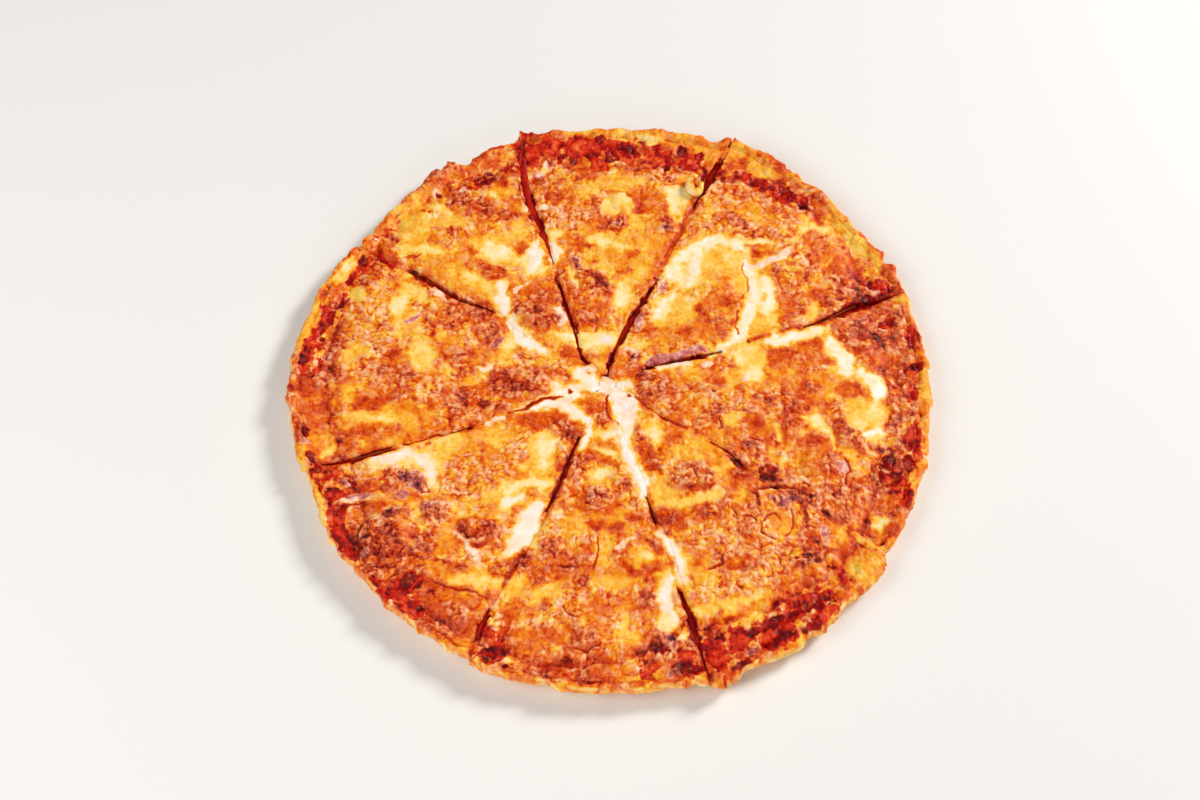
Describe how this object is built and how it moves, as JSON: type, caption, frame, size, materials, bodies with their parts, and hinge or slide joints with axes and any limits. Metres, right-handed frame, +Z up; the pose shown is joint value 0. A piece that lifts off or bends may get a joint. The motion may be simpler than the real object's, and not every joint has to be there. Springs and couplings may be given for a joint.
{
  "type": "ham and pepperoni pizza",
  "caption": "Thin round baked pizza with melted browned cheese, ham, pepperoni and tomato sauce, cut into wedges that still lie together.",
  "frame": {"origin": "where the cuts meet, on the flat underside, in the middle of the pizza's box", "axes": "+Z up out of the topping, +Y away from the viewer of the picture, +X to the viewer's right"},
  "size_m": [0.2998, 0.2964, 0.0147],
  "materials": {
    "crust": "baked thin dough, golden yellow edge with darker toasted crags",
    "sauce": "cooked tomato sauce, moist and lumpy",
    "ham": "cooked ham, pink and moist",
    "cheese": "melted cheese, cream to golden orange with browned blisters",
    "pepperoni": "browned sausage under a film of cheese, oily",
    "pepper": "soft yellow curl, moist"
  },
  "bodies": {
    "root": {"crust_1": "crust", "crust_2": "crust", "crust_3": "crust", "crust_4": "crust", "crust_5": "crust", "crust_6": "crust", "crust_7": "crust", "crust_8": "crust", "sauce_1": "sauce", "sauce_2": "sauce", "sauce_3": "sauce", "sauce_4": "sauce", "sauce_5": "sauce", "sauce_6": "sauce", "sauce_7": "sauce", "sauce_8": "sauce", "ham_1": "ham", "ham_2": "ham", "ham_3": "ham", "ham_4": "ham", "ham_5": "ham", "ham_6": "ham", "ham_7": "ham", "ham_8": "ham", "cheese_1": "cheese", "cheese_2": "cheese", "cheese_3": "cheese", "cheese_4": "cheese", "cheese_5": "cheese", "cheese_6": "cheese", "cheese_7": "cheese", "cheese_8": "cheese", "pepperoni_1": "pepperoni", "pepperoni_2": "pepperoni", "pepperoni_3": "pepperoni", "pepperoni_4": "pepperoni", "pepperoni_5": "pepperoni", "pepperoni_6": "pepperoni", "pepperoni_7": "pepperoni", "pepperoni_8": "pepperoni", "pepperoni_9": "pepperoni", "pepperoni_10": "pepperoni", "pepperoni_11": "pepperoni", "pepperoni_12": "pepperoni", "pepperoni_13": "pepperoni", "pepperoni_14": "pepperoni", "pepperoni_15": "pepperoni", "pepper_ring": "pepper"}
  },
  "joints": []
}
